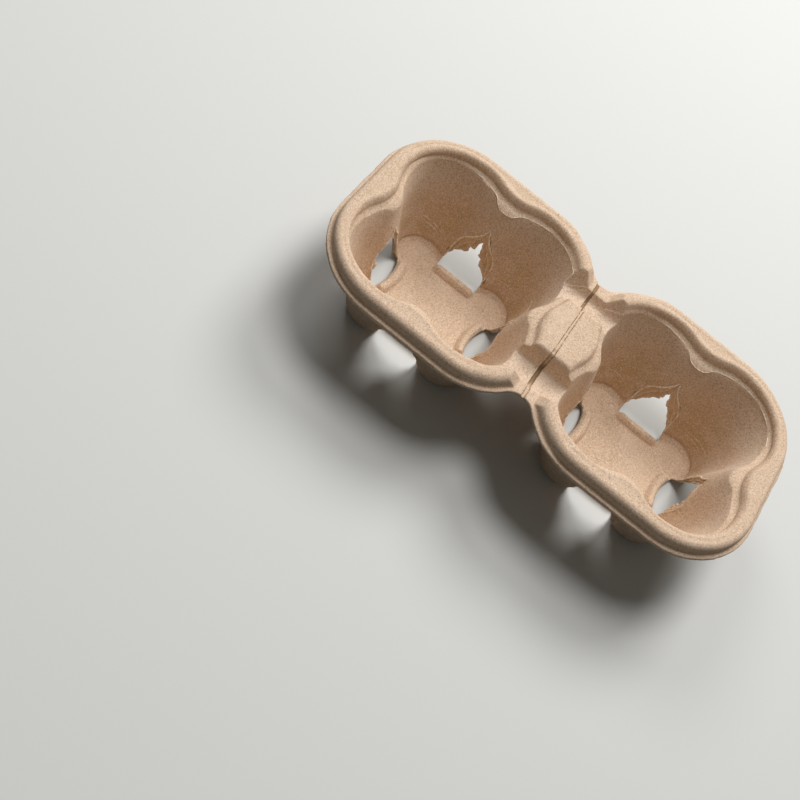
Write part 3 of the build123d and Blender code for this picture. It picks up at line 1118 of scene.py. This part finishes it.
def fibreGroup():
    # short curled lines, where a slow noise crosses its middle value
    tree, start, end = startGroup(
        "pulpFibres",
        (("Vector", "Vector", None), ("Size", "Float", 0.002), ("Width", "Float", 0.02)),
        (("Mask", "Float"),),
    )
    scale = addNode(tree, "Math", ((0, 1.0),), operation="DIVIDE")
    curls = addNode(tree, "TexNoise", (("Detail", 1.0),))
    centred = addNode(tree, "Math", ((1, 0.5),), operation="SUBTRACT")
    off = addNode(tree, "Math", operation="ABSOLUTE")
    line = addNode(tree, "MapRange", falling, interpolation_type="SMOOTHSTEP")
    shift = addNode(tree, "VectorMath", ((1, pulp["fibreShift"]),), operation="ADD")
    broken = addNode(tree, "TexNoise", (("Detail", 0.0),))
    kept = addNode(tree, "MapRange", pulp["fibreKept"], interpolation_type="SMOOTHSTEP")
    both = addNode(tree, "Math", operation="MULTIPLY")
    wire(
        tree,
        (start, "Size", scale, 1), (start, "Vector", curls, "Vector"), (scale, 0, curls, "Scale"),
        (curls, "Fac", centred, 0), (centred, 0, off, 0), (off, 0, line, "Value"),
        (start, "Width", line, "From Max"), (start, "Vector", shift, 0), (shift, 0, broken, "Vector"),
        (scale, 0, broken, "Scale"), (broken, "Fac", kept, "Value"), (line, "Result", both, 0),
        (kept, "Result", both, 1), (both, 0, end, "Mask"),
    )
    return tree


def scoreGroup():
    # the tear score across the bridge: its floor, which takes painted shade, and the two cut lines along
    # its edges
    tree, start, end = startGroup(
        "scoreLine",
        (("Vector", "Vector", None), ("Half Width", "Float", 0.0008), ("Line Width", "Float", 0.0003)),
        (("Floor", "Float"), ("Lines", "Float")),
    )
    turn = math.radians(drawing["scoreTurn"])
    square = (math.cos(turn), math.sin(turn), 0)
    wobble = addNode(tree, "TexNoise", (("Scale", 1 / tearScore["wobbleSize"]), ("Detail", 2.0)))
    centred = addNode(tree, "Math", ((1, 0.5),), operation="SUBTRACT")
    sway = addNode(tree, "Math", ((1, tearScore["wobble"]),), operation="MULTIPLY")
    shift = addNode(tree, "VectorMath", ((1, (drawing["scoreShift"], 0, 0)),), operation="SUBTRACT")
    across = addNode(tree, "VectorMath", ((1, square),), operation="DOT_PRODUCT")
    swayed = addNode(tree, "Math", operation="ADD")
    off = addNode(tree, "Math", operation="ABSOLUTE")
    outer = addNode(tree, "Math", ((1, tearScore["floorFade"]),), operation="ADD")
    floor = addNode(tree, "MapRange", falling, interpolation_type="SMOOTHSTEP")
    fromEdge = addNode(tree, "Math", operation="SUBTRACT")
    nearEdge = addNode(tree, "Math", operation="ABSOLUTE")
    lines = addNode(tree, "MapRange", falling, interpolation_type="SMOOTHSTEP")
    lines.inputs["From Min"].default_value = tearScore["lineFull"]
    wire(
        tree,
        (start, "Vector", wobble, "Vector"), (wobble, "Fac", centred, 0), (centred, 0, sway, 0),
        (start, "Vector", shift, 0), (shift, 0, across, 0), (across, "Value", swayed, 0),
        (sway, 0, swayed, 1), (swayed, 0, off, 0), (start, "Half Width", outer, 0),
        (off, 0, floor, "Value"), (start, "Half Width", floor, "From Min"), (outer, 0, floor, "From Max"),
        (off, 0, fromEdge, 0), (start, "Half Width", fromEdge, 1), (fromEdge, 0, nearEdge, 0),
        (nearEdge, 0, lines, "Value"), (start, "Line Width", lines, "From Max"),
        (floor, "Result", end, "Floor"), (lines, "Result", end, "Lines"),
    )
    return tree


def pulpMaterial():
    material = bpy.data.materials.new("mouldedPulp")
    material.use_nodes = True
    tree = material.node_tree
    links = tree.links
    shader = tree.nodes["Principled BSDF"]
    shader.inputs["Roughness"].default_value = pulp["roughness"]
    shader.inputs["Specular IOR Level"].default_value = pulp["specular"]
    where = addNode(tree, "TexCoord")
    specks = speckGroup()

    def blots(name):
        # their mask, and the share that their colour takes
        *values, share = pulp[name]
        sockets = zip(("Size", "Threshold", "Softness", "Seed", "Detail"), values)
        node = addNode(tree, "Group", sockets, node_tree=specks)
        links.new(where.outputs["Object"], node.inputs["Vector"])
        return node.outputs["Mask"], share

    def multiply(a, b):
        node = addNode(tree, "Math", operation="MULTIPLY")
        for socket, value in zip(node.inputs, (a, b)):
            if isinstance(value, float):
                socket.default_value = value
            else:
                links.new(value, socket)
        return node.outputs[0]

    def between(value, low, high):
        limits = (("From Min", low), ("From Max", high))
        node = addNode(tree, "MapRange", limits, interpolation_type="SMOOTHSTEP")
        links.new(value, node.inputs["Value"])
        return node.outputs["Result"]

    def mask(name):
        return addNode(tree, "Attribute", attribute_name=name).outputs["Fac"]

    def blend(below, over, amount, share=1.0):
        # lays a colour over what is below, by a mask
        mix = addNode(tree, "Mix", data_type="RGBA")
        links.new(multiply(amount, share), mix.inputs[0])
        if isinstance(below, tuple):
            mix.inputs[6].default_value = (*below, 1)
        else:
            links.new(below, mix.inputs[6])
        mix.inputs[7].default_value = (*over, 1)
        return mix.outputs[2]

    colour = blend(pulp["base"], pulp["dark"], *blots("mottle"))
    height = addNode(tree, "SeparateXYZ")
    links.new(where.outputs["Object"], height.inputs[0])
    level = height.outputs["Z"]
    # painted light: the upper walls turn paler and greyer, as if lit by more fill light
    high = multiply(between(level, *pulp["paintedFillFrom"]), between(level, *pulp["paintedFillTo"][::-1]))
    colour = blend(colour, pulp["paintedFill"], high, pulp["paintedFillShare"])
    # painted shade: the lower inner walls on the back half turn ochre, as bounced light tints them
    shadeOchreAmount = multiply(between(level, *pulp["shadeOchreLow"]), between(level, *pulp["shadeOchreHigh"][::-1]))
    shadeOchreAmount = multiply(multiply(shadeOchreAmount, mask("inside")), between(height.outputs["Y"], *pulp["shadeOchreBack"]))
    patches, patchShare = blots("patches")
    colour = blend(colour, pulp["shadeOchre"], multiply(shadeOchreAmount, patches), patchShare)
    # torn colour on cut faces and plies, partly painted shade
    colour = blend(colour, pulp["tornAndShade"], mask("tornAndShade"), pulp["tornAndShadeShare"])
    # painted highlight in the pale colour of bare fibre, on the plies' free edges and every thread
    colour = blend(colour, pulp["bareAndHighlight"], mask("bareAndHighlight"), pulp["bareAndHighlightShare"])
    colour = blend(colour, pulp["dark"], *blots("darkGrain"))
    colour = blend(colour, pulp["light"], *blots("lightFlecks"))
    flecks, fleckShare = blots("insideFlecks")
    colour = blend(colour, pulp["fibre"], multiply(flecks, mask("inside")), fleckShare)
    colour = blend(colour, pulp["speck"], *blots("specks"))
    curls = (("Size", pulp["fibreSize"]), ("Width", pulp["fibreWidth"]))
    fibres = addNode(tree, "Group", curls, node_tree=fibreGroup())
    links.new(where.outputs["Object"], fibres.inputs["Vector"])
    colour = blend(colour, pulp["fibre"], fibres.outputs["Mask"], pulp["fibreShare"])

    # the score shows narrower and narrower towards its far end
    score = addNode(tree, "Group", node_tree=scoreGroup())
    taper = addNode(tree, "MapRange", (
        ("From Min", -drawing["crownEnd"]), ("From Max", drawing["crownEnd"]),
        ("To Min", drawing["scoreHalf"]), ("To Max", tearScore["farHalf"])))
    wire(
        tree,
        (height, "Y", taper, "Value"), (taper, "Result", score, "Half Width"),
        (where, "Object", score, "Vector"),
    )
    # painted shade: the groove of the score darkened off the crown
    groove = multiply(score.outputs["Floor"], mask("scoreGrooveShade"))
    colour = blend(colour, pulp["groove"], groove, pulp["grooveShare"])
    broken, lineShare = blots("brokenLine")
    cutLines = multiply(multiply(score.outputs["Lines"], broken), mask("scoreLines"))
    colour = blend(colour, pulp["line"], cutLines, lineShare)
    links.new(colour, shader.inputs["Base Color"])

    grain = addNode(tree, "TexNoise", (("Scale", 1 / pulp["feltSize"]), ("Detail", 3.0)))
    felt = addNode(tree, "Bump", (("Strength", pulp["feltStrength"]), ("Distance", pulp["feltHeight"])))
    wire(
        tree,
        (where, "Object", grain, "Vector"), (grain, "Fac", felt, "Height"),
        (felt, "Normal", shader, "Normal"),
    )
    return material


carrierSkin, smoothPoints, smoothNormals = buildSkin()
mouldedPulp = pulpMaterial()
print("skin built")
tornPlies = buildPlies(smoothPoints, smoothNormals)
print("plies torn")
threads = buildBurrs() + buildPressLines() + buildTornEdges(smoothPoints, smoothNormals)
for piece in (carrierSkin, *tornPlies, *threads):
    piece.data.materials.append(mouldedPulp)
    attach(piece, "root")
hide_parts("cup_carrier")
print("carrier dressed")
